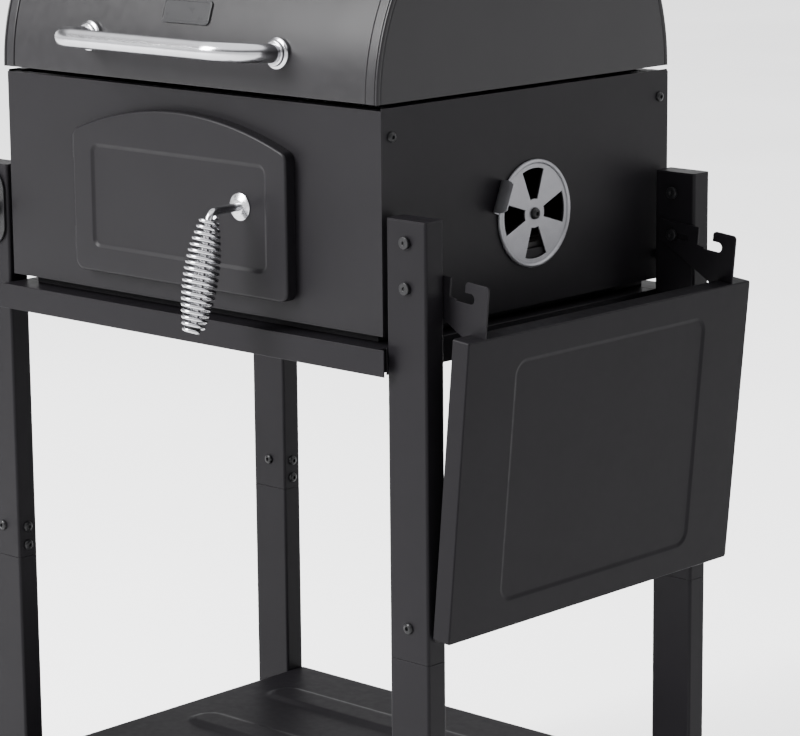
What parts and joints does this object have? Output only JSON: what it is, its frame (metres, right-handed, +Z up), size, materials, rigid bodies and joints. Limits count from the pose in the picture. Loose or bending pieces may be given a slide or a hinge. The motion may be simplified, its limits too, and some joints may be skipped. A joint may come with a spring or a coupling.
{
  "type": "charcoal grill cart",
  "caption": "Dark grey charcoal grill cart with barrel lid, arched front door, round side vents, a folding side table, bottom shelf and wheels",
  "frame": {"origin": "middle of the footprint, on the floor", "axes": "+X across the cart to the right-hand table, +Y from the door to the back, +Z up"},
  "size_m": [0.7466, 0.5554, 1.1267],
  "materials": {
    "body_paint": "satin dark grey heat-resistant powder coat on firebox sheet",
    "lid_paint": "satin dark grey heat-resistant powder coat on lid sheet, a little glossier",
    "frame_paint": "satin dark grey powder coat on leg tubes and rails",
    "shelf_paint": "satin dark grey powder coat on the shelf sheet",
    "table_paint": "satin dark grey powder coat on the table pans",
    "galvanised": "zinc-plated steel with light brushing",
    "chrome": "bright plated steel",
    "stainless": "brushed stainless steel",
    "cast_iron": "enamelled cast iron, matt",
    "black_screw": "black-coated steel screw heads",
    "badge": "blank pressed badge with a satin rim",
    "black_plastic": "moulded black polypropylene",
    "black_rubber": "black rubber buttons",
    "tyre_rubber": "solid black rubber tyre"
  },
  "bodies": {
    "base": {"firebox_front_panel": "body_paint", "firebox_rear_panel": "body_paint", "firebox_side_right": "body_paint", "firebox_side_left": "body_paint", "firebox_floor": "body_paint", "firebox_screws": "black_screw", "grate_ledges": "body_paint", "cooking_grate_right": "cast_iron", "cooking_grate_left": "cast_iron", "charcoal_grate": "cast_iron", "ash_tray": "galvanised", "door_hinge_brackets": "body_paint", "door_hinge_pins": "galvanised", "vent_screws": "black_screw", "body_hinge_leaves": "body_paint", "lid_hinge_pins": "galvanised", "upper_leg_front_right": "frame_paint", "upper_leg_front_left": "frame_paint", "upper_leg_rear_right": "frame_paint", "upper_leg_rear_left": "frame_paint", "lower_leg_front_right": "frame_paint", "lower_leg_front_left": "frame_paint", "lower_leg_rear_right": "frame_paint", "lower_leg_rear_left": "frame_paint", "leg_caps": "frame_paint", "foot_caps": "black_plastic", "leg_screws": "black_screw", "front_rail": "frame_paint", "rear_rail": "frame_paint", "side_rail_right": "frame_paint", "side_rail_left": "frame_paint", "bottom_shelf": "shelf_paint", "axle": "galvanised", "axle_caps": "black_plastic", "table_bolts": "black_screw", "table_nuts": "galvanised", "table_bumpers": "black_rubber", "bottle_opener": "black_screw"},
    "door": {"door_panel": "body_paint"},
    "latch": {"door_washer": "stainless", "door_handle_rod": "chrome", "door_handle_grip": "chrome", "door_latch_cam": "galvanised"},
    "vent_right": {"vent_disc_right": "galvanised"},
    "vent_left": {"vent_disc_left": "galvanised"},
    "lid": {"lid_shell": "lid_paint", "lid_end_right": "lid_paint", "lid_end_left": "lid_paint", "lid_handle": "chrome", "lid_rosettes": "chrome", "lid_badge": "badge", "lid_hinge_leaves": "body_paint"},
    "side_table_right": {"table_right": "table_paint", "table_right_brackets": "frame_paint"},
    "wheel_set_front": {"wheel_front": "black_plastic", "tyre_front": "tyre_rubber"},
    "wheel_set_rear": {"wheel_rear": "black_plastic", "tyre_rear": "tyre_rubber"}
  },
  "joints": [
    {"name": "lid_hinge", "type": "hinge", "parent": "base", "child": "lid", "pos_m": [-0.00229, 0.24373, 0.908], "axis": [-1, 0, 0], "range_deg": [0, 95]},
    {"name": "door_hinge", "type": "hinge", "parent": "base", "child": "door", "pos_m": [-0.15879, -0.19357, 0.785], "axis": [0, 0, -1], "range_deg": [0, 120]},
    {"name": "door_latch_turn", "type": "hinge", "parent": "door", "child": "latch", "pos_m": [0.08571, -0.20927, 0.8], "axis": [0, 1, 0], "range_deg": [0, 90]},
    {"name": "vent_right_turn", "type": "hinge", "parent": "base", "child": "vent_right", "pos_m": [0.26371, 0.02673, 0.784], "axis": [1, 0, 0], "range_deg": [0, 45]},
    {"name": "vent_left_turn", "type": "hinge", "parent": "base", "child": "vent_left", "pos_m": [-0.26828, 0.02673, 0.784], "axis": [-1, 0, 0], "range_deg": [0, 45]},
    {"name": "table_right_swing", "type": "hinge", "parent": "base", "child": "side_table_right", "pos_m": [0.29372, 0.02373, 0.743], "axis": [0, -1, 0], "range_deg": [0, 95.3]},
    {"name": "wheel_front_roll", "type": "hinge", "parent": "base", "child": "wheel_set_front", "pos_m": [-0.29829, -0.20927, 0.075], "axis": [0, 1, 0], "continuous": true},
    {"name": "wheel_rear_roll", "type": "hinge", "parent": "base", "child": "wheel_set_rear", "pos_m": [-0.29829, 0.25373, 0.075], "axis": [0, 1, 0], "continuous": true}
  ]
}
